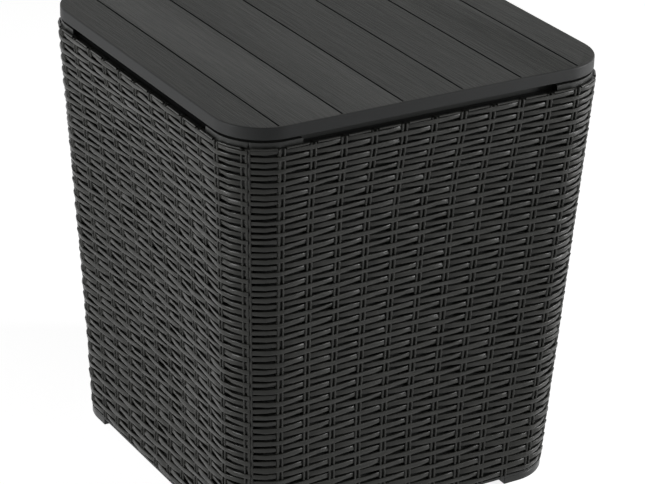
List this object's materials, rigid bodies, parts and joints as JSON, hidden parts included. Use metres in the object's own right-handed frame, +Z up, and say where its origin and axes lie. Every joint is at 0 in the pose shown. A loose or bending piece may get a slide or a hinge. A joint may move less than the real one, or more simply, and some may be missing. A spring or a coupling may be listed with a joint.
{
  "type": "resin storage side table",
  "caption": "Square outdoor side table and storage box with tapered woven-look resin walls, round corners and a planked lift-off lid.",
  "frame": {"origin": "centre of the footprint on the floor", "axes": "+Z up; -Y and -X are the two walls that the picture shows, and the lid's planks run along Y"},
  "size_m": [0.4156, 0.4156, 0.454],
  "materials": {
    "lid_resin": "moulded wood grain planks, satin charcoal",
    "weave_resin": "moulded rattan weave, satin charcoal",
    "trim_resin": "smooth moulded charcoal",
    "inside_resin": "smooth moulded charcoal"
  },
  "bodies": {
    "body": {"wall_front": "weave_resin", "wall_right": "weave_resin", "wall_back": "weave_resin", "wall_left": "weave_resin", "post_back_right": "inside_resin", "post_back_left": "inside_resin", "post_front_left": "inside_resin", "post_front_right": "inside_resin", "cap_back_right": "trim_resin", "cap_back_left": "trim_resin", "cap_front_left": "trim_resin", "cap_front_right": "trim_resin", "foot_back_right": "trim_resin", "foot_back_left": "trim_resin", "foot_front_left": "trim_resin", "foot_front_right": "trim_resin", "floor_panel": "inside_resin"},
    "lid": {"lid_deck": "lid_resin"}
  },
  "joints": [
    {"name": "lid_lift", "type": "slide", "parent": "body", "child": "lid", "axis": [0, 0, 1], "range_m": [0, 0.15]}
  ]
}
